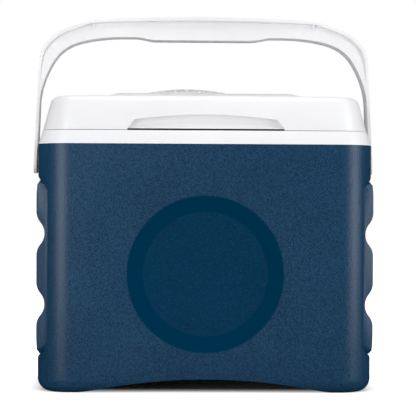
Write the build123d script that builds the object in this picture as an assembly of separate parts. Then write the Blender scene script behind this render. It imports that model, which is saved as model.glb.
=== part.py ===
from build123d import *
import math
import os

# Cabinet. All lengths are in millimetres, +Z is up and the front faces -Y.
body_width = 400
body_depth = 244
body_height = 295.5
corner_radius = 40
base_radius = 16
wall = 2.5
foam_gap = 0.3

# Arches that leave a foot at each corner of the base.
front_arch_span = 316
side_arch_span = 116
arch_rise = 17
arch_blend = 0.12

# Scalloped panels on the two sides.
panel_low = 45.5
panel_top_margin = 43.5
panel_corner = 17
panel_crest = 0.6
panel_end_rise = 22
groove_depth = 9.7
groove_flank = 26
groove_places = (0.287, 0.694)
notch_radius = 6
notch_depth = 2.5
panel_groove = 1.2

# Round dish in the front.
dish_height = 0.478
dish_diameter = 186
dish_border = 19
dish_depth = 5.5
dish_edge_radius = 4

# Rim between shell and lid, and the tub inside.
rim_height = 16
rim_draft = 18
insulation = 25.5
rim_skirt = 2
liner_wall = 2
liner_floor = 45
liner_draft = 1.2
liner_floor_radius = 18
mouth_radius = 30

# Lid.
lid_gap = 2.2
lid_inset = 5.5
lid_height = 40.5
lid_hem = 1.6
lid_draft = 15.4
lid_crown = 1.6
lid_edge_radius = 11
plateau_width = 240
plateau_depth = 182
plateau_radius = 26
plateau_rise = 3.6
plateau_ramp = 75
plug_depth = 12
plug_clearance = 4
panel_wall = 2
gasket_width = 6
flange_inset = 4.5
screw_length = 10

# Finger scoop in the front of the lid.
scoop_width = 186
scoop_shoulder_width = 169.6
scoop_shoulder_height = 10.8
scoop_height = 16.8
scoop_depth = 11
scoop_lip = 1.6

# Rear hinge of the lid.
hinge_spacing = 200
knuckle_radius = 5
knuckle_length = 27
ear_length = 10
hinge_pin_diameter = 4
hinge_side_gap = 0.4
hinge_clearance = 0.6
running_clearance = 0.05
hinge_arm = 4

# Handle.
pivot_drop = 21
leg_gap = 6.4
leg_thickness = 3.5
leg_depth = 42
leg_end_drop = 12
leg_end_radius = 10
leg_lean = 4.4
grip_depth = 31
grip_height = 29.5
swing_gap = 21.1
shoulder_drop = 80
crown_inset = 77
crown_drop = 4.5
# Points on the bow's outer edge, in from the leg and down from the top, and on its inner edge, in from
# the leg and down from the level part under the grip.
bow_points = ((6.8, 37.1), (27.1, 18.8), (51.9, 9.6))
inner_points = ((7.8, 46.3), (31.8, 14.15), (77.8, 1.5))
grip_swell = 3.7
grip_level = 86
grip_end = 58
channel_drop = 80
channel_depth = 8
channel_flange = 3.2
channel_lip = 1
channel_slope = 25
channel_sag = 1.6
channel_rib_place = 137
channel_rib = 2.4
channel_rib_drop = 2.5
peg_diameter = 14
bush_wall = 3
bush_length = 17
leg_clearance = 1.2

# Cooling unit in the lid.
fan_x = -21
grille_diameter = 130
grille_rise = 8.4
grille_thickness = 2.4
grille_rib = 2.6
grille_hub = 10
grille_rings = 4
grille_spokes = 20
grille_fin = 1.8
grille_fin_rise = 1.2
fan_opening = 104
hot_fan_diameter = 88
hot_fan_height = 12
cold_fan_diameter = 66
cold_fan_height = 11
fan_blade = 1.6
fan_pitch = 38
fan_blades = 7
shaft_diameter = 3
sink_width = 150
sink_depth = 100
sink_base = 5
fin_height = 12
fin_thickness = 1.6
fin_pitch = 6.4
module_size = 40
module_thickness = 4
module_offset = 46
block_height = 20
cold_fin_height = 14
cold_sink_width = 140
cold_sink_depth = 92
motor_diameter = 34
motor_height = 18
motor_boss_diameter = 12
motor_boss_height = 3
bracket_diameter = 50
hub_share = 0.36
duct_width = 116
slot_width = 5
slot_height = 13
slot_pitch = 9.5
slot_count = 11
cover_width = 162
cover_depth = 112
cover_radius = 14
cover_wall = 2
cold_rings = 3
cold_spokes = 16
screw_diameter = 3
screw_head_diameter = 5.6
screw_head_height = 2.2
panel_screw_head = 1.5
boss_diameter = 8
inlet_x = 92
inlet_width = 24
inlet_height = 16
inlet_length = 20
inlet_wall = 3
contact_width = 2
contact_tail = 2
lead_diameter = 2.4

# Heights and half sizes that follow from the values above.
half_width = body_width / 2
half_depth = body_depth / 2
rim_top = body_height + rim_height
mouth_width = body_width - 2 * insulation
mouth_depth = body_depth - 2 * insulation
liner_inside_width = mouth_width + 2 * rim_skirt + 2 * foam_gap
liner_inside_depth = mouth_depth + 2 * rim_skirt + 2 * foam_gap
liner_top = rim_top - wall - foam_gap
lid_low = rim_top + lid_gap
lid_high = lid_low + lid_height
lid_width = body_width - 2 * lid_inset
lid_depth = body_depth - 2 * lid_inset
plateau_top = lid_high + plateau_rise
panel_high = body_height - panel_top_margin
panel_height = panel_high - panel_low
panel_mid = (panel_low + panel_high) / 2
panel_turn = corner_radius * (1 - math.cos(math.radians(45)))
panel_half_depth = half_depth - panel_turn
panel_root = half_width - panel_turn - panel_groove
pivot_height = body_height - pivot_drop
leg_inner = half_width + leg_gap
leg_outer = leg_inner + leg_thickness
lid_top_depth = lid_depth / 2 - lid_height * math.tan(math.radians(lid_draft))
grip_low = pivot_height + math.hypot(lid_top_depth, lid_high - pivot_height) + swing_gap
handle_top = grip_low + grip_height
channel_low = handle_top - channel_drop
shoulder = handle_top - shoulder_drop
leg_slope = leg_lean / (shoulder - pivot_height)
leg_foot = pivot_height - leg_depth
bush_flange = leg_gap - leg_clearance
hinge_y = lid_depth / 2 - 0.5
hinge_z = rim_top - 2.5
flange_low = lid_low + 0.2
flange_top = flange_low + panel_wall
plug_low = flange_low - plug_depth
plug_width = mouth_width - 2 * plug_clearance
plug_depth_y = mouth_depth - 2 * plug_clearance
block_low = plug_low
module_low = block_low + block_height
sink_low = module_low + module_thickness
fin_low = sink_low + sink_base
fin_top = fin_low + fin_height
cold_sink_low = plug_low - sink_base
cold_fin_low = cold_sink_low - cold_fin_height
hot_fan_low = fin_top + 2.5
cold_fan_top = cold_fin_low - 2.5
cold_fan_low = cold_fan_top - cold_fan_height
cover_low = cold_fan_low - 6
module_x = fan_x + module_offset
sink_x = fan_x + module_offset / 4
motor_low = fin_low + 2 - motor_height
inlet_z = lid_low + lid_height / 2
inlet_face = lid_depth / 2 - (lid_height / 2 - inlet_height / 2) * math.tan(math.radians(lid_draft))


def block(width, depth, radius, low, high):
    """Upright block with rounded corners, between two heights."""
    return extrude(Pos(0, 0, low) * RectangleRounded(width, depth, radius), high - low)


def prism_x(sketch, half_length, middle=0):
    """A YZ outline extruded along X."""
    return Pos(middle, 0, 0) * extrude(Plane.YZ * sketch, half_length, both=True)


def prism_y(sketch, half_length, middle=0):
    """An XZ outline extruded along Y."""
    return Pos(0, middle, 0) * extrude(Plane.XZ * sketch, half_length, both=True)


def rod_x(radius, length, x, y, z):
    """Cylinder along X about its middle."""
    return Pos(x, y, z) * Rot(0, 90, 0) * Cylinder(radius, length)


def rod_z(radius, low, high, x=0, y=0):
    """Upright cylinder between two heights."""
    return Pos(x, y, (low + high) / 2) * Cylinder(radius, high - low)


def box_between(low_corner, high_corner):
    """Box between two opposite corners."""
    size = [high - low for low, high in zip(low_corner, high_corner)]
    middle = [(high + low) / 2 for low, high in zip(low_corner, high_corner)]
    return Pos(*middle) * Box(*size)


def both_sides(part):
    """The part and its mirror image on the other side of the box."""
    return part + mirror(part, Plane.YZ)


def arch(span, lift):
    """Space under a base arch: a shallow crown with tangent blends into the feet."""
    half = span / 2
    blend = half * (1 - arch_blend)
    slope = 2 * arch_rise / half
    joint = arch_rise - slope * blend / 2 + lift
    curve = [
        ThreePointArc((-blend, joint), (0, arch_rise + lift), (blend, joint)),
        TangentArc((half, lift), (blend, joint), tangent=(-1, 0)),
        TangentArc((-half, lift), (-blend, joint), tangent=(1, 0)),
        Polyline((half, lift), (half, -wall), (-half, -wall), (-half, lift)),
    ]
    return make_face(curve)


def panel_profile(inset):
    """Section of a side panel: flat crests with two round grooves between them."""
    root = panel_root - inset - 1
    crest = half_width + panel_crest - inset
    groove = crest - groove_depth
    flank_x = (crest + groove) / 2
    edge = half_width - inset - 1
    low = panel_low + inset
    high = panel_high - inset
    top = (crest, high - panel_end_rise)
    curve = [TangentArc(top, (edge, high), tangent=(0, 1))]
    for place in reversed(groove_places):
        z = panel_low + place * panel_height
        above = (flank_x, z + groove_flank / 2)
        below = (flank_x, z - groove_flank / 2)
        curve.append(Line(top, (crest, z + groove_flank)))
        curve.append(TangentArc((crest, z + groove_flank), above, tangent=(0, -1)))
        curve.append(ThreePointArc(above, (groove, z), below))
        curve.append(TangentArc((crest, z - groove_flank), below, tangent=(0, 1)))
        top = (crest, z - groove_flank)
    curve.append(Line(top, (crest, low + panel_end_rise)))
    curve.append(TangentArc((crest, low + panel_end_rise), (edge, low), tangent=(0, -1)))
    curve.append(Polyline((edge, low), (root, low), (root, high), (edge, high)))
    return make_face(curve)


def panel_outline(grow):
    """Rounded outline of a side panel, seen from the side."""
    size = (2 * (panel_half_depth + grow), panel_height + 2 * grow)
    return Pos(0, panel_mid) * RectangleRounded(*size, panel_corner + grow)


def side_panel(inset):
    """Right-hand scalloped panel, with its ends turned a little towards the front and back."""
    root = panel_root - inset
    end = panel_half_depth - inset
    outer = root + 3 * panel_turn / 2
    turned = end - panel_turn / 2
    plan = Polyline(
        (root - 2, -end),
        (root, -end),
        (outer, -turned),
        (outer, turned),
        (root, end),
        (root - 2, end),
        close=True,
    )
    pad = prism_y(panel_profile(inset), body_depth) & prism_x(panel_outline(-inset), body_width)
    return pad & extrude(make_face(plan), body_height)


def body_form(inset):
    """Outer form of the shell, or the same form moved inwards by the inset."""
    form = block(
        body_width - 2 * inset, body_depth - 2 * inset, corner_radius - inset, inset, body_height
    )
    form = fillet(form.edges().group_by(Axis.Z)[0], base_radius - inset)
    pocket = prism_x(panel_outline(inset + panel_groove), body_width)
    pocket -= Box(2 * (panel_root - inset), body_depth, 2 * body_height)
    form = form - pocket + both_sides(side_panel(inset))
    notch_x = half_width + notch_radius - notch_depth
    for z in (panel_low, panel_high):
        notch = Pos(notch_x, 0, z) * Rot(90, 0, 0) * Cylinder(notch_radius + inset, body_depth)
        form -= both_sides(notch)
    form -= prism_y(arch(front_arch_span, inset), body_depth)
    form -= prism_x(arch(side_arch_span, inset), body_width)
    front = Plane((0, -half_depth, dish_height * body_height), z_dir=(0, -1, 0))
    outer = dish_diameter / 2 + inset
    deep = dish_depth + inset
    return form - front * Pos(0, 0, -deep / 2) * Cone(outer - dish_border, outer, deep)


def liner_form(grow):
    """Space inside the tub, or the same form moved outwards."""
    top = Pos(0, 0, liner_top) * RectangleRounded(
        liner_inside_width + 2 * grow, liner_inside_depth + 2 * grow, mouth_radius + rim_skirt + grow
    )
    form = extrude(top, liner_top - liner_floor + grow, dir=(0, 0, -1), taper=liner_draft)
    return fillet(form.edges().group_by(Axis.Z)[0], liner_floor_radius + grow)


def pivot_hole(radius):
    """Holes for the handle's bearings, through both side walls."""
    depth = bush_length + foam_gap
    return both_sides(rod_x(radius, depth, half_width - depth / 2, 0, pivot_height))


def outer_shell():
    """Blue shell: the outer form with a softened dish, hollowed to an even wall."""
    rims = (dish_diameter / 2, dish_diameter / 2 - dish_border)
    form = body_form(0)
    circles = form.edges().filter_by(GeomType.CIRCLE)
    form = fillet([edge for edge in circles if round(edge.radius, 3) in rims], dish_edge_radius)
    shell = form - body_form(wall)
    return shell - pivot_hole(peg_diameter / 2 + bush_wall)


def insulation_foam():
    foam = body_form(wall + foam_gap) - liner_form(liner_wall + foam_gap)
    foam -= Pos(0, 0, body_height) * Box(body_width, body_depth, 2 * foam_gap)
    return foam - pivot_hole(peg_diameter / 2 + bush_wall + foam_gap)


def inner_liner():
    return liner_form(liner_wall) - liner_form(0)


def rim_frame():
    """White rim: a hollow ring with a skirt into the tub and ears for the lid's hinge."""
    base = Pos(0, 0, body_height)
    outline = base * RectangleRounded(body_width, body_depth, corner_radius)
    form = extrude(outline, rim_height, taper=rim_draft)
    inside_size = (body_width - 2 * wall, body_depth - 2 * wall, corner_radius - wall)
    inside = extrude(base * RectangleRounded(*inside_size), rim_height - wall, taper=rim_draft)
    skirt_size = (mouth_width + 2 * rim_skirt, mouth_depth + 2 * rim_skirt, mouth_radius + rim_skirt)
    inside -= block(*skirt_size, 0, rim_top)
    rim = form - inside - block(mouth_width, mouth_depth, mouth_radius, 0, rim_top)
    reach = knuckle_length / 2 + hinge_side_gap
    end = reach + ear_length
    block_front = liner_inside_depth / 2 + liner_wall + foam_gap
    notch = knuckle_radius + hinge_clearance
    for x in (-hinge_spacing / 2, hinge_spacing / 2):
        rim += form & box_between((x - end, block_front, body_height), (x + end, half_depth, rim_top))
        rim += rod_x(knuckle_radius, 2 * end, x, hinge_y, hinge_z)
        rim -= box_between((x - reach, hinge_y - notch, hinge_z - notch), (x + reach, half_depth, lid_high))
        rim -= rod_x(hinge_pin_diameter / 2, 3 * end, x, hinge_y, hinge_z)
    return rim


def hinge_pin(side):
    length = knuckle_length + 2 * (hinge_side_gap + ear_length)
    return rod_x(hinge_pin_diameter / 2, length, side * hinge_spacing / 2, hinge_y, hinge_z)


def pivot_bush(side):
    """Bearing for one handle peg: a sleeve through the wall with a flange outside."""
    radius = peg_diameter / 2
    sleeve = rod_x(radius + bush_wall, bush_length, half_width - bush_length / 2, 0, pivot_height)
    flange = rod_x(radius + 2 * bush_wall, bush_flange, half_width + bush_flange / 2, 0, pivot_height)
    bush = sleeve + flange - rod_x(radius + running_clearance, body_width, half_width, 0, pivot_height)
    return bush if side > 0 else mirror(bush, Plane.YZ)


def area_inside_bow(inset, sag=0):
    """Right half of the area inside the handle's outer edge, down to the ends of the legs."""
    top = handle_top - inset
    x = leg_outer - leg_lean - inset
    foot = leg_outer + leg_slope * leg_depth - inset
    crown_end = (x - crown_inset, top - crown_drop)
    drop = crown_drop - sag
    radius = (crown_end[0] ** 2 + drop ** 2) / (2 * drop)
    edge = Spline(
        (x, shoulder),
        *[(x - inwards, top - down) for inwards, down in bow_points],
        crown_end,
        tangents=((-leg_slope, 1), (drop - radius, crown_end[0])),
    )
    crown = TangentArc((0, top - sag), crown_end, tangent=(1, 0))
    legs = Polyline((x, shoulder), (foot, leg_foot), (0, leg_foot), (0, top - sag))
    return make_face([edge, crown, legs])


def area_under_grip(grow):
    """Right half of the area between the legs, under the grip."""
    low = grip_low + grow
    x = leg_inner - leg_lean + grow
    foot = leg_inner + leg_slope * leg_depth + grow
    knee = shoulder - grip_height
    knee_x = x + leg_slope * grip_height
    edge = Spline(
        (knee_x, knee),
        *[(x - inwards, low + grip_swell - down) for inwards, down in inner_points],
        (grip_level, low + grip_swell),
        tangents=((-leg_slope, 1), (-1, 0)),
    )
    swell = Spline((grip_level, low + grip_swell), (grip_end, low), tangents=((-1, 0), (-1, 0)))
    leg = Polyline((knee_x, knee), (foot, leg_foot), (0, leg_foot), (0, low), (grip_end, low))
    return make_face([edge, swell, leg])


def handle_channel():
    """Space cut from both faces of the handle: deep under its outer flange, sloping out to its inner edge."""
    face = grip_depth / 2
    deep = face - channel_depth
    sections = [
        Plane.XZ.offset(face) * area_under_grip(channel_lip),
        Plane.XZ.offset(deep) * area_under_grip(channel_slope),
    ]
    half = prism_y(area_inside_bow(channel_flange, channel_sag), channel_depth / 2, -(face + deep) / 2)
    half -= loft(sections, ruled=True)
    half -= Box(2 * body_width, body_depth, 2 * channel_low)
    rib_face = face - channel_rib_drop
    rib_middle = Pos(channel_rib_place, -(rib_face + deep) / 2, handle_top)
    half -= rib_middle * Box(channel_rib, rib_face - deep, 4 * grip_height)
    front = both_sides(half)
    return front + mirror(front, Plane.XZ)


def handle():
    """Carry handle: a bow with a channel in both faces, and a peg inside each leg."""
    half_leg = leg_depth / 2
    half_grip = grip_depth / 2
    side = make_face(
        Polyline(
            (-half_leg, pivot_height - leg_end_drop),
            (half_leg, pivot_height - leg_end_drop),
            (half_leg, pivot_height + half_leg),
            (half_grip, shoulder),
            (half_grip, handle_top + 1),
            (-half_grip, handle_top + 1),
            (-half_grip, shoulder),
            (-half_leg, pivot_height + half_leg),
            close=True,
        )
    )
    side = fillet(side.vertices().group_by(Axis.Y)[0], leg_end_radius)
    half = prism_y(area_inside_bow(0), leg_depth) - prism_y(area_under_grip(0), 2 * leg_depth)
    bow = (both_sides(half) & prism_x(side, body_width)) - handle_channel()
    peg_end = half_width - bush_length + 1
    peg = rod_x(peg_diameter / 2, leg_inner + 1 - peg_end, (leg_inner + 1 + peg_end) / 2, 0, pivot_height)
    return bow + both_sides(peg)


def finger_scoop(grow):
    """Scoop in the front of the lid: an arched mouth with a back that slopes out to its lower lip."""
    half = scoop_width / 2 + grow
    shoulder_x = scoop_shoulder_width / 2 + grow
    shoulder_z = lid_low + scoop_shoulder_height + grow
    crest = lid_low + scoop_height + grow
    mouth = make_face(
        [
            ThreePointArc((-shoulder_x, shoulder_z), (0, crest), (shoulder_x, shoulder_z)),
            Polyline(
                (shoulder_x, shoulder_z),
                (half, lid_low),
                (half, 0),
                (-half, 0),
                (-half, lid_low),
                (-shoulder_x, shoulder_z),
            ),
        ]
    )
    lip = scoop_lip + grow - lid_depth / 2
    back = scoop_depth + grow - lid_depth / 2
    knee = lid_low + scoop_shoulder_height
    section = make_face(
        [
            TangentArc((back, knee), (lip, lid_low), tangent=(0, -1)),
            Polyline(
                (lip, lid_low),
                (lip, 0),
                (-body_depth, 0),
                (-body_depth, lid_high),
                (back, lid_high),
                (back, knee),
            ),
        ]
    )
    return prism_y(mouth, body_depth / 2, -half_depth) & prism_x(section, body_width)


def lid_form(inset):
    """Outer form of the lid, or the same form moved inwards by the inset."""
    sideways = inset / math.cos(math.radians(lid_draft))
    size = (lid_width - 2 * sideways, lid_depth - 2 * sideways, corner_radius - sideways)
    form = extrude(Pos(0, 0, lid_low) * RectangleRounded(*size), lid_height + 5, taper=lid_draft)
    top = lid_high - inset
    side = top - lid_crown
    crown = make_face(
        [
            ThreePointArc((-half_width, side), (0, top), (half_width, side)),
            Polyline((half_width, side), (half_width, 0), (-half_width, 0), (-half_width, side)),
        ]
    )
    form = form & prism_y(crown, body_depth)
    form = fillet(form.faces().sort_by(Axis.Z)[-1].edges(), lid_edge_radius - inset)
    size = (plateau_width - 2 * inset, plateau_depth - 2 * inset, plateau_radius - inset)
    ramp = extrude(Pos(0, 0, top) * RectangleRounded(*size), plateau_rise, taper=plateau_ramp)
    form += ramp + block(*size, lid_low + lid_height / 2, top)
    return form - finger_scoop(inset)


def screw_places():
    """Four screws near the corners of the lid's inner panel."""
    x = plug_width / 2 + plug_clearance
    y = mouth_depth / 2 - mouth_radius
    return [(-x, -y), (-x, y), (x, -y), (x, y)]


def lid_cover():
    """White lid: a hollow cap with openings for fan, air and power, hinge arms and screw bosses."""
    cover = lid_form(0) - lid_form(wall)
    hem = block(lid_width, lid_depth, corner_radius, lid_low - lid_hem, lid_low)
    hem -= block(lid_width - 2 * wall, lid_depth - 2 * wall, corner_radius - wall, lid_low - lid_hem, lid_low)
    cover += hem - Pos(0, -half_depth, lid_low) * Box(scoop_width, half_depth, body_height)
    for x, y in screw_places():
        boss = rod_z(boss_diameter / 2, flange_top, lid_high, x, y) & lid_form(wall / 2)
        cover += boss - rod_z(screw_diameter / 2, flange_top, flange_top + screw_length, x, y)
    cover -= rod_z(fan_opening / 2, lid_low + lid_height / 2, 2 * lid_high, fan_x)
    for i in range(slot_count):
        x = sink_x + (i - (slot_count - 1) / 2) * slot_pitch
        slot = SlotOverall(slot_height, slot_width, rotation=90)
        cover -= prism_y(Pos(x, fin_low + slot_height / 2) * slot, half_depth / 4, half_depth)
    cover -= inlet_block(0)
    reach = knuckle_length / 2 + hinge_side_gap + ear_length + hinge_side_gap
    arm = knuckle_length / 2
    notch = knuckle_radius + hinge_clearance
    for x in (-hinge_spacing / 2, hinge_spacing / 2):
        cover -= box_between((x - reach, hinge_y - notch, 0), (x + reach, half_depth, hinge_z + notch))
        cover += rod_x(knuckle_radius, knuckle_length, x, hinge_y, hinge_z)
        cover += box_between((x - arm, hinge_y - hinge_arm, hinge_z), (x + arm, hinge_y, hinge_z + 2 * notch))
        cover -= rod_x(hinge_pin_diameter / 2 + running_clearance, 2 * reach, x, hinge_y, hinge_z)
    return cover


def lid_inner_panel():
    """Inside of the lid: a flange round a shallow pan that fits into the mouth of the rim."""
    size = (lid_width - 2 * flange_inset, lid_depth - 2 * flange_inset, corner_radius - flange_inset)
    panel = block(*size, flange_low, flange_top)
    panel += block(plug_width, plug_depth_y, mouth_radius, plug_low, flange_top)
    inside = (plug_width - 2 * panel_wall, plug_depth_y - 2 * panel_wall, mouth_radius - panel_wall)
    panel -= block(*inside, plug_low + panel_wall, lid_high)
    panel -= Pos(module_x, 0, plug_low) * Box(module_size + 1, module_size + 1, 3 * panel_wall)
    panel -= rod_z(motor_boss_diameter / 2, 0, lid_low, fan_x)
    panel -= finger_scoop(wall + foam_gap)
    for x, y in screw_places():
        panel -= rod_z(screw_diameter / 2, 0, lid_high, x, y)
    for x, y in clamp_places():
        panel -= rod_z(screw_diameter / 2, 0, lid_low, x, y)
    for x, y in cover_screw_places():
        panel -= rod_z(screw_diameter / 2, 0, lid_low, x, y)
    return panel


def lid_gasket():
    inner_size = (mouth_width + gasket_width, mouth_depth + gasket_width, mouth_radius + gasket_width / 2)
    outer_size = [size + 2 * gasket_width for size in inner_size[:2]]
    low = rim_top + foam_gap
    ring = block(*outer_size, inner_size[2] + gasket_width, low, flange_low)
    return ring - block(*inner_size, low, flange_low)


def panel_screws():
    """Screws up through the inner panel into the bosses of the lid."""
    screws = Part()
    for x, y in screw_places():
        screws += rod_z(screw_diameter / 2, flange_low, flange_top + screw_length, x, y)
        screws += rod_z(screw_head_diameter / 2, flange_low - panel_screw_head, flange_low, x, y)
    return screws


def lid_foam():
    """Insulation that fills the lid round the cooling unit, its air duct and its wiring."""
    gap = foam_gap
    foam = lid_form(wall + gap) & box_between(
        (-half_width, -half_depth, flange_top + gap), (half_width, half_depth, 2 * lid_high)
    )
    pan = panel_wall + gap
    size = (plug_width - 2 * pan, plug_depth_y - 2 * pan, mouth_radius - pan)
    foam += block(*size, plug_low + pan, flange_top + wall)
    duct = box_between(
        (sink_x - sink_width / 2 - gap, -sink_depth / 2 - gap, sink_low),
        (sink_x + sink_width / 2 + gap, sink_depth / 2 + gap, 2 * lid_high),
    )
    duct += box_between(
        (sink_x - duct_width / 2, 0, fin_low),
        (sink_x + duct_width / 2, half_depth, fin_low + slot_height + 2),
    )
    duct += rod_z(grille_diameter / 2, fin_top - wall, 2 * lid_high, fan_x)
    foam -= duct
    foam -= Pos(module_x, 0, sink_low) * Box(module_size + 2 * gap, module_size + 2 * gap, 4 * block_height)
    foam -= rod_z(motor_diameter / 2 + 1, motor_low - motor_boss_height - gap, lid_high, fan_x)
    foam -= rod_z(motor_boss_diameter / 2, 0, lid_high, fan_x)
    for x, y in screw_places():
        foam -= rod_z(boss_diameter / 2 + gap, 0, 2 * lid_high, x, y)
    for x, y in clamp_places():
        foam -= rod_z(screw_diameter / 2 + gap, 0, lid_high, x, y)
    for x, y in cover_screw_places():
        foam -= rod_z(screw_diameter / 2 + gap, 0, plug_low + screw_length + gap, x, y)
    for x in (-hinge_spacing / 2, hinge_spacing / 2):
        arm = knuckle_length / 2 + ear_length + 2
        top = hinge_z + 4 * knuckle_radius
        foam -= box_between((x - arm, hinge_y - 3 * hinge_arm, 0), (x + arm, half_depth, top))
    foam -= inlet_block(contact_tail + gap)
    return foam - lead_space()


def vent_grille():
    """Domed guard over the fan: rings of openings in a solid border, with a spigot in the lid's opening."""
    rise = grille_rise
    radius = (grille_diameter ** 2 / 4 + rise ** 2) / (2 * rise)
    centre = Pos(fan_x, 0, plateau_top + rise - radius)
    dome = centre * Sphere(radius) - centre * Sphere(radius - grille_thickness)
    dome = dome & rod_z(grille_diameter / 2, plateau_top, lid_high + 4 * rise, fan_x)
    bore = fan_opening / 2 - grille_thickness
    spigot = rod_z(fan_opening / 2, plateau_top - wall, plateau_top + grille_rise, fan_x)
    spigot = spigot & (centre * Sphere(radius)) - rod_z(bore, 0, 2 * lid_high, fan_x)
    openings = ring_openings(grille_hub, bore, grille_rings, grille_spokes, plateau_top, 2 * plateau_top)
    fins = Part()
    fin_length = bore - grille_hub
    fin_middle = plateau_top + rise / 2 + grille_fin_rise
    for i in range(grille_spokes):
        fin = Pos(grille_hub + fin_length / 2, 0, fin_middle) * Box(fin_length, grille_fin, rise)
        fins += Rot(0, 0, 360 / grille_spokes * i) * fin
    fins = Pos(fan_x) * fins & (Pos(0, 0, grille_fin_rise) * centre * Sphere(radius))
    fins -= centre * Sphere(radius - grille_thickness / 2)
    return dome + spigot - Pos(fan_x) * openings + fins


def ring_openings(inner, outer, rings, spokes, low, high):
    """Rings of openings about the Z axis, with each ring turned half a step from the last."""
    step = (outer - inner) / rings
    openings = Sketch()
    for i in range(rings):
        ring = Circle(inner + (i + 1) * step - grille_rib) - Circle(inner + i * step)
        for j in range(spokes):
            turn = 360 / spokes * (j + i % 2 / 2)
            spoke = Rectangle(outer, grille_rib, align=(Align.MIN, Align.CENTER))
            ring -= Rot(0, 0, turn) * spoke
        openings += ring
    return extrude(Pos(0, 0, low) * openings, high - low)


def fan_shroud():
    """Ring round the hot-side fan, with a flange under the lid."""
    top = lid_high + plateau_rise - wall - foam_gap
    bore = hot_fan_diameter / 2 + 2
    ring = rod_z(bore + cover_wall, fin_top + 0.5, top, fan_x)
    ring += rod_z(fan_opening / 2 + 6, top - cover_wall, top, fan_x)
    return ring - rod_z(bore, 0, 2 * top, fan_x)


def finned_plate(width, depth, base_low, fins_low):
    """Aluminium plate with fins along Y, above or below it."""
    plate = Pos(sink_x, 0, base_low + sink_base / 2) * Box(width, depth, sink_base)
    height = base_low - fins_low if fins_low < base_low else fin_height
    count = int((width - fin_thickness) / fin_pitch) + 1
    pitch = (width - fin_thickness) / (count - 1)
    for i in range(count):
        x = sink_x - width / 2 + fin_thickness / 2 + i * pitch
        plate += Pos(x, 0, fins_low + height / 2) * Box(fin_thickness, depth, height)
    return plate


def hot_heatsink():
    sink = finned_plate(sink_width, sink_depth, sink_low, fin_low)
    sink -= rod_z(motor_diameter / 2 + 1, 0, lid_high, fan_x)
    sink -= rod_z(bracket_diameter / 2 + 1, fin_low, lid_high, fan_x)
    for x, y in clamp_places():
        sink -= rod_z(screw_diameter / 2, 0, sink_low + sink_base - 1, x, y)
    return sink


def peltier_module():
    middle = Pos(module_x, 0, module_low + module_thickness / 2)
    return middle * Box(module_size, module_size, module_thickness)


def cold_block():
    return Pos(module_x, 0, block_low + block_height / 2) * Box(module_size, module_size, block_height)


def cold_heatsink():
    sink = finned_plate(cold_sink_width, cold_sink_depth, cold_sink_low, cold_fin_low)
    sink -= rod_z(motor_boss_diameter / 2, 0, lid_high, fan_x)
    for x, y in clamp_places():
        sink -= rod_z(screw_diameter / 2, 0, lid_high, x, y)
        sink -= rod_z(screw_head_diameter, 0, cold_sink_low, x, y)
    return sink


def clamp_places():
    """Four screws round the module that pull the two heatsinks together."""
    reach = module_size / 2 + screw_head_diameter / 2
    return [(module_x + i * reach, j * reach) for i in (-1, 1) for j in (-1, 1)]


def clamp_screws():
    screws = Part()
    for x, y in clamp_places():
        screws += rod_z(screw_diameter / 2, cold_sink_low, sink_low + sink_base - 1, x, y)
        screws += rod_z(screw_head_diameter / 2, cold_sink_low - screw_head_height, cold_sink_low, x, y)
    return screws


def fan_motor():
    """Small direct-current motor with a bearing boss at both ends."""
    top = motor_low + motor_height
    motor = rod_z(motor_diameter / 2, motor_low, top, fan_x)
    motor += rod_z(motor_boss_diameter / 2 - 1, motor_low - motor_boss_height, top + motor_boss_height, fan_x)
    return motor - rod_z(shaft_diameter / 2 + running_clearance, 0, lid_high, fan_x)


def motor_bracket():
    """Ring that clips the motor to the top of the hot heatsink."""
    ring = rod_z(bracket_diameter / 2, fin_low, fin_low + 2, fan_x)
    return ring - rod_z(motor_diameter / 2, 0, lid_high, fan_x)


def motor_shaft():
    return rod_z(shaft_diameter / 2, cold_fan_low, hot_fan_low + hot_fan_height, fan_x)


def impeller(diameter, low, height):
    """Hub with pitched blades, pressed on the motor shaft."""
    hub = diameter * hub_share / 2
    length = diameter / 2 - hub + 1
    middle = Pos(hub - 1 + length / 2, 0, low + height / 2)
    chord = height / math.sin(math.radians(fan_pitch))
    blade = middle * Rot(fan_pitch, 0, 0) * Box(length, chord, fan_blade)
    fan = rod_z(hub, low, low + height)
    for i in range(fan_blades):
        fan += Rot(0, 0, 360 / fan_blades * i) * blade
    fan = fan & rod_z(diameter / 2, low, low + height)
    return Pos(fan_x) * (fan - rod_z(shaft_diameter / 2, 0, 2 * lid_high))


def cover_screw_places():
    """Four screws in the corners of the cold-side guard."""
    x = cover_width / 2 - 2 * screw_head_diameter / 2 - cover_wall
    y = cover_depth / 2 - 2 * screw_head_diameter / 2 - cover_wall
    return [(sink_x + i * x, j * y) for i in (-1, 1) for j in (-1, 1)]


def cold_grille():
    """Guard over the cold-side fan, with rings of openings below and slots in its sides."""
    size = (cover_width, cover_depth, cover_radius)
    inside = (cover_width - 2 * cover_wall, cover_depth - 2 * cover_wall, cover_radius - cover_wall)
    shell = block(*size, cover_low, plug_low) - block(*inside, cover_low + cover_wall, plug_low)
    cover = Pos(sink_x) * shell
    floor_top = cover_low + cover_wall
    openings = ring_openings(grille_hub, cold_fan_diameter / 2, cold_rings, cold_spokes, cover_low, floor_top)
    cover -= Pos(fan_x) * openings
    slot = SlotOverall(cold_fin_height, slot_width / 2, rotation=90)
    for i in range(slot_count):
        x = sink_x + (i - (slot_count - 1) / 2) * slot_pitch
        cover -= prism_y(Pos(x, cold_fin_low + cold_fin_height / 2) * slot, cover_depth)
    for x, y in cover_screw_places():
        cover += rod_z(screw_head_diameter / 2, cover_low + cover_wall, plug_low, x, y)
        cover -= rod_z(screw_diameter / 2, 0, lid_low, x, y)
        cover -= rod_z(screw_head_diameter / 2 - 0.6, 0, cover_low + cover_wall, x, y)
    return cover


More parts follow.
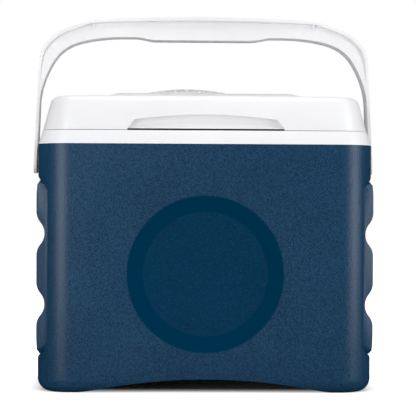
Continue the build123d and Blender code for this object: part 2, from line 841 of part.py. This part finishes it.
def grille_screws():
    screws = Part()
    for x, y in cover_screw_places():
        screws += rod_z(screw_diameter / 2, cover_low + cover_wall, plug_low + screw_length, x, y)
        screws += rod_z(screw_head_diameter / 2 - 0.6, cover_low + 0.4, cover_low + cover_wall, x, y)
    return screws


def inlet_block(grow):
    """Outside of the power inlet, which sits in the back wall of the lid."""
    half = inlet_width / 2 + grow
    rise = inlet_height / 2 + grow
    return box_between(
        (inlet_x - half, inlet_face - inlet_length - grow, inlet_z - rise),
        (inlet_x + half, inlet_face + grow, inlet_z + rise),
    )


def power_inlet():
    """Socket for a low-voltage lead: an open box with a closed back."""
    half_opening = inlet_width / 2 - inlet_wall
    opening_rise = inlet_height / 2 - inlet_wall
    inlet = inlet_block(0)
    inlet -= box_between(
        (inlet_x - half_opening, inlet_face - inlet_length + inlet_wall, inlet_z - opening_rise),
        (inlet_x + half_opening, half_depth, inlet_z + opening_rise),
    )
    return inlet - inlet_contacts()


def inlet_contacts():
    contacts = Part()
    for x in contact_places():
        contacts += box_between(
            (x - contact_width / 2, inlet_face - inlet_length - contact_tail, inlet_z - contact_width),
            (x + contact_width / 2, inlet_face - inlet_wall, inlet_z + contact_width),
        )
    return contacts


def contact_places():
    reach = inlet_width / 2 - inlet_wall - 1.5 * contact_width
    return (inlet_x - reach, inlet_x + reach)


def lead_path(side):
    """Route of one wire, from a contact of the inlet round to the edge of the module."""
    start_x = contact_places()[side]
    start_y = inlet_face - inlet_length - contact_tail
    y = (0.5 - side) * module_size / 2
    z = module_low + module_thickness / 2
    end_x = module_x + module_size / 2
    return Spline(
        (start_x, start_y, inlet_z),
        (start_x, start_y - 12, inlet_z - 2),
        (end_x + 30, y + 14, z),
        (end_x, y, z),
        tangents=((0, -1, 0), (-1, 0, 0)),
    )


def lead(side, grow=0):
    path = lead_path(side)
    return sweep(Plane(path @ 0, z_dir=path % 0) * Circle(lead_diameter / 2 + grow), path=path)


def lead_space():
    return lead(0, foam_gap) + lead(1, foam_gap)


nodes = {
    "outer_shell": outer_shell(),
    "insulation_foam": insulation_foam(),
    "inner_liner": inner_liner(),
    "rim_frame": rim_frame(),
    "hinge_pin_left": hinge_pin(-1),
    "hinge_pin_right": hinge_pin(1),
    "pivot_bush_left": pivot_bush(-1),
    "pivot_bush_right": pivot_bush(1),
    "handle": handle(),
    "lid_cover": lid_cover(),
    "lid_inner_panel": lid_inner_panel(),
    "lid_foam": lid_foam(),
    "lid_gasket": lid_gasket(),
    "panel_screws": panel_screws(),
    "vent_grille": vent_grille(),
    "fan_shroud": fan_shroud(),
    "hot_heatsink": hot_heatsink(),
    "peltier_module": peltier_module(),
    "cold_block": cold_block(),
    "cold_heatsink": cold_heatsink(),
    "clamp_screws": clamp_screws(),
    "fan_motor": fan_motor(),
    "motor_bracket": motor_bracket(),
    "motor_shaft": motor_shaft(),
    "hot_impeller": impeller(hot_fan_diameter, hot_fan_low, hot_fan_height),
    "cold_impeller": impeller(cold_fan_diameter, cold_fan_low, cold_fan_height),
    "cold_grille": cold_grille(),
    "grille_screws": grille_screws(),
    "power_inlet": power_inlet(),
    "inlet_contacts": inlet_contacts(),
    "lead_red": lead(0),
    "lead_black": lead(1),
}

os.makedirs("parts", exist_ok=True)
for name, part in nodes.items():
    export_step(part, f"parts/{name}.step")
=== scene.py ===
import math

import bpy
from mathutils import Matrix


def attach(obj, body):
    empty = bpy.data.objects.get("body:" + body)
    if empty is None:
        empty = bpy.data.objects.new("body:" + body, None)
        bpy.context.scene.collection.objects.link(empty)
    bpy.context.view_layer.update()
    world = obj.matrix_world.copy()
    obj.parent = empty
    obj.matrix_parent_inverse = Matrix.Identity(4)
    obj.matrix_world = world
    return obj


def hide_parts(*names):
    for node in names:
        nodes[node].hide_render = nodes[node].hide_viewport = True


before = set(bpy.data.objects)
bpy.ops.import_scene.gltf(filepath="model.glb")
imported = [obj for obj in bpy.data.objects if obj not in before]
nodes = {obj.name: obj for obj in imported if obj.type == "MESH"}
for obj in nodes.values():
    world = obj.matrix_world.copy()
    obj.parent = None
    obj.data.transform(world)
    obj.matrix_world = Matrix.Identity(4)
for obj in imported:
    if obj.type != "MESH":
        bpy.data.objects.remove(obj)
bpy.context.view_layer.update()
bpy.ops.object.select_all(action="DESELECT")


# Outer shell: one moulded box of blue polypropylene with scalloped sides, a round dish in front and
# an arched base. The rim closes it at the top. The mould was etched, so a fine stipple covers it and
# spreads the highlights along its rounded corners.
def linear(hex_colour):
    """Linear red, green, blue and alpha of an sRGB hex colour."""
    values = [int(hex_colour[i:i + 2], 16) / 255 for i in (1, 3, 5)]
    return [v / 12.92 if v <= 0.04045 else ((v + 0.055) / 1.055) ** 2.4 for v in values] + [1.0]


def add_node(owner, kind, inputs, **settings):
    """Adds a node to a material or world. An input is a value, or another node's output to link from."""
    node = owner.node_tree.nodes.new(kind)
    for name, value in settings.items():
        setattr(node, name, value)
    for name, value in inputs.items():
        if isinstance(value, bpy.types.NodeSocket):
            owner.node_tree.links.new(value, node.inputs[name])
        else:
            node.inputs[name].default_value = value
    return node


def surface(
    name, dark, light, grain_mm, depth_mm, roughness, ior=1.49, metallic=0.0, stretch=(1, 1, 1), painted_grain_light=0.0
):
    """A material whose grain of a real size gives it bump and uneven gloss, between two close colours.

    The colours follow broad patches, mixed with a share of the fine grain that paints the grain's raised
    points lighter and its pits darker, as painted light.
    """
    patch_mm = 71.43
    noise_detail = 3.0
    gloss_range = 0.06
    material = bpy.data.materials.new(name)
    material.use_nodes = True
    links = material.node_tree.links
    shader = material.node_tree.nodes["Principled BSDF"]
    shader.inputs["Metallic"].default_value = metallic
    # A metal keeps the shader's own index of refraction.
    if not metallic:
        shader.inputs["IOR"].default_value = ior
    place = add_node(material, "ShaderNodeTexCoord", {}).outputs["Object"]
    along = add_node(material, "ShaderNodeMapping", {"Vector": place, "Scale": stretch}).outputs["Vector"]
    fine = {"Vector": along, "Scale": 1000 / grain_mm, "Detail": noise_detail}
    broad = {"Vector": along, "Scale": 1000 / patch_mm, "Detail": noise_detail}
    grain = add_node(material, "ShaderNodeTexNoise", fine).outputs["Fac"]
    patch = add_node(material, "ShaderNodeTexNoise", broad).outputs["Fac"]
    # Painted light: the fine grain's share makes the raised points of the bump lighter and its pits darker.
    patch_and_grain_light = add_node(material, "ShaderNodeMix", {"Factor": painted_grain_light, "A": patch, "B": grain})
    tone = add_node(material, "ShaderNodeValToRGB", {"Fac": patch_and_grain_light.outputs["Result"]})
    dark_stop, light_stop = tone.color_ramp.elements
    dark_stop.position = 0.35
    dark_stop.color = linear(dark)
    light_stop.position = 0.65
    light_stop.color = linear(light)
    gloss = add_node(
        material,
        "ShaderNodeMapRange",
        {
            "Value": grain,
            "From Min": 0.3,
            "From Max": 0.7,
            "To Min": roughness - gloss_range,
            "To Max": roughness + gloss_range,
        },
    )
    relief = {"Height": grain, "Strength": 1.0, "Distance": depth_mm / 1000}
    bump = add_node(material, "ShaderNodeBump", relief)
    links.new(tone.outputs["Color"], shader.inputs["Base Color"])
    links.new(gloss.outputs["Result"], shader.inputs["Roughness"])
    links.new(bump.outputs["Normal"], shader.inputs["Normal"])
    return material


def soften(name, body, material, edge_mm, sharp_degrees):
    """Adds a copy of a CAD node with its sharp edges rounded, which stands for the node."""
    same_point = 0.00001
    same_plane = math.radians(0.5)
    most_fold = math.radians(20)
    most_skew = math.radians(60)
    sharp_angle = math.radians(sharp_degrees)
    piece = bpy.data.objects.new(name + "_moulding", nodes[name].data.copy())
    bpy.context.collection.objects.link(piece)
    bpy.context.view_layer.objects.active = piece
    piece.select_set(True)
    bpy.ops.mesh.customdata_custom_splitnormals_clear()
    # The node's loose triangles become whole faces and quads, which take an even rounding on curved edges.
    bpy.ops.object.mode_set(mode="EDIT")
    bpy.ops.mesh.select_all(action="SELECT")
    bpy.ops.mesh.remove_doubles(threshold=same_point)
    bpy.ops.mesh.dissolve_limited(angle_limit=same_plane)
    bpy.ops.mesh.tris_convert_to_quads(face_threshold=most_fold, shape_threshold=most_skew)
    bpy.ops.object.mode_set(mode="OBJECT")
    bevel = piece.modifiers.new("rounded edges", "BEVEL")
    bevel.width = edge_mm / 1000
    bevel.segments = 3
    bevel.loop_slide = False
    bevel.limit_method = "ANGLE"
    bevel.angle_limit = sharp_angle
    bpy.ops.object.modifier_apply(modifier=bevel.name)
    bpy.ops.object.shade_smooth_by_angle(angle=sharp_angle)
    piece.data.materials.clear()
    piece.data.materials.append(material)
    piece.select_set(False)
    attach(piece, body)
    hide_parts(name)


# The stipple is drawn coarser than a real etched grain, so that it shows at this distance. Most of
# the colour follows the stipple: painted light on its raised points, painted shade in its pits.
blue = surface(
    "blue polypropylene, etched stipple",
    "#022943",
    "#0C4367",
    grain_mm=1.5,
    depth_mm=0.25,
    roughness=0.37,
    painted_grain_light=0.85,
)
soften("outer_shell", "cabinet", blue, edge_mm=1.2, sharp_degrees=35)


# Dish: the sloping border of the dish was polished instead of etched, so the stipple stops there and
# the border has no sheen. The dish is painted a deeper blue as painted shade for its sunken border,
# fully on the border and about two thirds on the flat. The flat of the dish is etched about a third
# as much as the rest of the shell.
dish_middle = (0, -0.122, 0.1413)
dish_radius = 0.093
flat_radius = 0.074
edge_blur = 0.001
flat_etching = 0.35
# Painted shade: a deeper blue for the dish's sunken border and, in part, its flat.
dish_shade_colour = "#002F49"
border_roughness = 0.2
etched_sheen = 0.5
blue_links = blue.node_tree.links
blue_inputs = blue.node_tree.nodes["Principled BSDF"].inputs
shell_place = add_node(blue, "ShaderNodeTexCoord", {}).outputs["Object"]
from_middle = {0: shell_place, 1: dish_middle}
distance = add_node(blue, "ShaderNodeVectorMath", from_middle, operation="DISTANCE").outputs["Value"]
around = add_node(
    blue,
    "ShaderNodeMapRange",
    {"Value": distance, "From Min": dish_radius - edge_blur, "From Max": dish_radius + edge_blur},
).outputs["Result"]
flat = add_node(
    blue,
    "ShaderNodeMapRange",
    {
        "Value": distance,
        "From Min": flat_radius + edge_blur,
        "From Max": flat_radius - edge_blur,
        "To Max": flat_etching,
    },
).outputs["Result"]
etched = add_node(blue, "ShaderNodeMath", {0: around, 1: flat}, operation="ADD").outputs["Value"]
stipple = blue_inputs["Normal"].links[0].from_node
blue_links.new(etched, stipple.inputs["Strength"])
etched_roughness = blue_inputs["Roughness"].links[0].from_socket
polish = add_node(blue, "ShaderNodeMix", {"Factor": etched, "A": border_roughness, "B": etched_roughness})
blue_links.new(polish.outputs["Result"], blue_inputs["Roughness"])
# Painted shade: the colour goes to the deeper blue where the dish is not etched, fully on its border.
etched_tone_and_grain_light = blue_inputs["Base Color"].links[0].from_socket
tones_with_dish_shade = {"Factor": etched, "A": linear(dish_shade_colour), "B": etched_tone_and_grain_light}
tone_with_dish_shade = add_node(blue, "ShaderNodeMix", tones_with_dish_shade, data_type="RGBA")
blue_links.new(tone_with_dish_shade.outputs["Result"], blue_inputs["Base Color"])
sheen = add_node(blue, "ShaderNodeMath", {0: etched, 1: etched_sheen}, operation="MULTIPLY")
blue_links.new(sheen.outputs["Value"], blue_inputs["Specular IOR Level"])


# Rim: a white injection-moulded polypropylene ring that snaps over the shell and the tub, with ears
# for the hinge pins at the back. The mould was polished short of a mirror, so it is satin, with a
# faint waviness where the walls shrank.
white = surface(
    "white polypropylene, satin moulding", "#E9E9EB", "#EDEDEF", grain_mm=9, depth_mm=0.02, roughness=0.34
)
soften("rim_frame", "cabinet", white, edge_mm=0.6, sharp_degrees=30)


# Tub and foam: a smooth white polystyrene tub with a soft gloss, and polyurethane poured round it and
# into the lid. The foam's cells show as fine pits in a cream colour.
def dress(material, *names):
    """Gives the named CAD nodes a material."""
    for name in names:
        nodes[name].data.materials.clear()
        nodes[name].data.materials.append(material)


liner = surface(
    "white polystyrene, smooth moulding", "#E4E5E6", "#E9EAEB", grain_mm=14, depth_mm=0.02, roughness=0.24
)
foam = surface("polyurethane foam, poured", "#DCCB93", "#E6D7A4", grain_mm=0.9, depth_mm=0.25, roughness=0.85)
dress(liner, "inner_liner")
dress(foam, "insulation_foam", "lid_foam")


# Hinge pins and screws: zinc-plated steel, bright with a faint cloudy bloom. The pins are pressed into
# the rim's ears. The screws hold the lid's inner panel, the cooling unit and the guard below it.
zinc = surface(
    "zinc-plated steel", "#A9ACB0", "#BBBDBF", grain_mm=0.6, depth_mm=0.01, roughness=0.3, metallic=1.0
)
dress(zinc, "hinge_pin_left", "hinge_pin_right", "panel_screws", "clamp_screws", "grille_screws")


# Lid: a hollow white cap with a finger scoop in front, screwed to an inner panel that plugs the rim's
# mouth. A soft, matt rubber seal runs round the panel, and a guard of the same plastic as the panel
# covers the fan inside the box.
soften("lid_cover", "lid", white, edge_mm=0.8, sharp_degrees=30)
dress(liner, "lid_inner_panel", "cold_grille")
seal = surface("foam rubber, extruded", "#232426", "#2B2C2E", grain_mm=0.5, depth_mm=0.06, roughness=0.8)
dress(seal, "lid_gasket")


# Fan guard: a lattice dome moulded in the same white polypropylene as the lid. Its spigot sits in the
# round opening in the top of the lid.
soften("vent_grille", "lid", white, edge_mm=0.4, sharp_degrees=30)


# Cooling unit: extruded aluminium heatsinks with drawn lines along their fins, clamped on a module
# between two white alumina plates, which look chalky.
aluminium = surface(
    "extruded aluminium",
    "#BFC1C4",
    "#CDCFD1",
    grain_mm=0.8,
    depth_mm=0.02,
    roughness=0.36,
    metallic=1.0,
    stretch=(1, 0.02, 1),
)
alumina = surface(
    "sintered alumina plate", "#E2E0D8", "#EAE8E1", grain_mm=0.4, depth_mm=0.02, roughness=0.6, ior=1.76
)
dress(aluminium, "hot_heatsink", "cold_heatsink", "cold_block")
dress(alumina, "peltier_module")


# Fans: two fans of black ABS with a dull sheen, pressed on the ends of one steel shaft. The motor has
# a drawn steel can with fine upright lines, and a black ring guides the air of the upper fan.
black = surface("black ABS, moulded", "#131314", "#18181A", grain_mm=1.2, depth_mm=0.03, roughness=0.45)
can = surface(
    "drawn steel can",
    "#9C9EA2",
    "#A8AAAD",
    grain_mm=0.5,
    depth_mm=0.01,
    roughness=0.26,
    metallic=1.0,
    stretch=(1, 1, 0.03),
)
dress(black, "hot_impeller", "cold_impeller", "fan_shroud")
dress(can, "fan_motor", "motor_bracket", "motor_shaft")


# Power inlet: a black socket in the back of the lid with two bright blades of stamped brass, and a red
# and a black wire from it to the module, in smooth PVC sleeves with a soft gloss.
brass = surface(
    "stamped brass", "#BE9C4C", "#CBAA5A", grain_mm=0.5, depth_mm=0.01, roughness=0.3, metallic=1.0
)
red_sleeve = surface("red PVC sleeve", "#A01818", "#AC1E1C", grain_mm=2, depth_mm=0.02, roughness=0.4)
black_sleeve = surface("black PVC sleeve", "#111112", "#161617", grain_mm=2, depth_mm=0.02, roughness=0.4)
dress(black, "power_inlet")
dress(brass, "inlet_contacts")
dress(red_sleeve, "lead_red")
dress(black_sleeve, "lead_black")


# Handle: one white polypropylene moulding with a channel in both faces to keep its walls thin. Its
# two pegs turn in bushes of milky, slightly waxy acetal in the sides of the shell.
acetal = surface("natural acetal, turned", "#D6D6D8", "#DEDEDF", grain_mm=3, depth_mm=0.02, roughness=0.36)
dress(acetal, "pivot_bush_left", "pivot_bush_right")
soften("handle", "handle", white, edge_mm=0.9, sharp_degrees=30)


# Floor: one plain pale sheet that takes the box's shadow. Away from the box the camera sees it as white
# as the room, and in reflections it is dark, so that the shell keeps its deep colour.
floor_size = 14
shadow_half = (0.165, 0.06, 0)
shadow_fade = 0.06
fade_power = 2.0
reflected_floor = "#2A2A2A"
bpy.ops.mesh.primitive_plane_add(size=floor_size, location=(0, 0, 0))
floor = bpy.context.object
floor.name = "floor"
pale = surface("pale studio floor", "#F2F2F2", "#F4F4F4", grain_mm=40, depth_mm=0.0, roughness=0.9)
floor.data.materials.append(pale)
floor_links = pale.node_tree.links
floor_inputs = pale.node_tree.nodes["Principled BSDF"].inputs
floor_place = add_node(pale, "ShaderNodeTexCoord", {}).outputs["Object"]
sideways = add_node(pale, "ShaderNodeVectorMath", {0: floor_place}, operation="ABSOLUTE").outputs["Vector"]
past_edge = {0: sideways, 1: shadow_half}
past = add_node(pale, "ShaderNodeVectorMath", past_edge, operation="SUBTRACT").outputs["Vector"]
only_outside = {0: past, 1: (0, 0, 0)}
outside = add_node(pale, "ShaderNodeVectorMath", only_outside, operation="MAXIMUM").outputs["Vector"]
apart = add_node(pale, "ShaderNodeVectorMath", {0: outside}, operation="LENGTH").outputs["Value"]
fade = add_node(pale, "ShaderNodeMapRange", {"Value": apart, "From Max": shadow_fade}).outputs["Result"]
open_floor = add_node(pale, "ShaderNodeMath", {0: fade, 1: fade_power}, operation="POWER").outputs["Value"]
floor_ray = add_node(pale, "ShaderNodeLightPath", {}).outputs
seen_floor = {0: open_floor, 1: floor_ray["Is Camera Ray"]}
glow = add_node(pale, "ShaderNodeMath", seen_floor, operation="MULTIPLY").outputs["Value"]
pale_tone = floor_inputs["Base Color"].links[0].from_socket
floor_tones = {"Factor": floor_ray["Is Glossy Ray"], "A": pale_tone, "B": linear(reflected_floor)}
floor_tone = add_node(pale, "ShaderNodeMix", floor_tones, data_type="RGBA")
floor_links.new(floor_tone.outputs["Result"], floor_inputs["Base Color"])
floor_inputs["Emission Color"].default_value = linear("#FFFFFF")
floor_links.new(glow, floor_inputs["Emission Strength"])


# Room: white to the camera, and a dim grey that fills the shadows. It is darker still in reflections,
# so that the shell keeps its deep colour.
seen_level = 1.0
fill_level = 0.27
reflected_level = 0.05
world = bpy.data.worlds.new("studio")
bpy.context.scene.world = world
world.use_nodes = True
room = world.node_tree.nodes["Background"]
room_ray = add_node(world, "ShaderNodeLightPath", {}).outputs
unseen_levels = {"Value": room_ray["Is Glossy Ray"], "To Min": fill_level, "To Max": reflected_level}
unseen_level = add_node(world, "ShaderNodeMapRange", unseen_levels).outputs["Result"]
all_levels = {"Factor": room_ray["Is Camera Ray"], "A": unseen_level, "B": seen_level}
level = add_node(world, "ShaderNodeMix", all_levels)
room.inputs["Color"].default_value = linear("#FFFFFF")
world.node_tree.links.new(level.outputs["Result"], room.inputs["Strength"])


# Lamps: a soft box on each side of the camera, and a large one overhead. Each has its place, width,
# height and power in watts, and points at the middle of the box.
aim_height = 0.2
lamps = (
    ("soft_box_left", (-1.1, -1.5, 0.6), 0.75, 1.3, 13.2),
    ("soft_box_right", (1.55, -1.0, 0.6), 0.8, 1.3, 13.7),
    ("soft_box_top", (0, -0.3, 2.2), 2.0, 2.0, 27),
)
for name, spot, width, height, power in lamps:
    lamp = bpy.data.lights.new(name, "AREA")
    lamp.shape = "RECTANGLE"
    lamp.size = width
    lamp.size_y = height
    lamp.energy = power
    stand = bpy.data.objects.new(name, lamp)
    bpy.context.collection.objects.link(stand)
    stand.location = spot
    aim = -stand.location
    aim.z += aim_height
    stand.rotation_euler = aim.to_track_quat("-Z", "Y").to_euler()


# Camera: nearly level and a little left of the middle, about two metres from the front, with a long
# lens. Its focal length and shift are in pixels of the picture.
picture_width = 416
focal_pixels = 1694
shift_right_pixels = 5.2
shift_up_pixels = 1.5
sensor_mm = 36
reach = 2.122
eye_height = 0.218
turn = math.radians(-1.7)
tilt = math.radians(-1)
roll = math.radians(-0.27)
camera = bpy.data.objects.new("camera", bpy.data.cameras.new("camera"))
bpy.context.collection.objects.link(camera)
bpy.context.scene.camera = camera
camera.location = (math.sin(turn) * reach, -math.cos(turn) * reach, eye_height)
camera.rotation_euler = (math.radians(90) + tilt, roll, turn)
camera.data.sensor_width = sensor_mm
camera.data.lens = sensor_mm * focal_pixels / picture_width
camera.data.shift_x = shift_right_pixels / picture_width
camera.data.shift_y = (shift_up_pixels - focal_pixels * math.tan(tilt)) / picture_width
bpy.context.scene.view_settings.view_transform = "Standard"
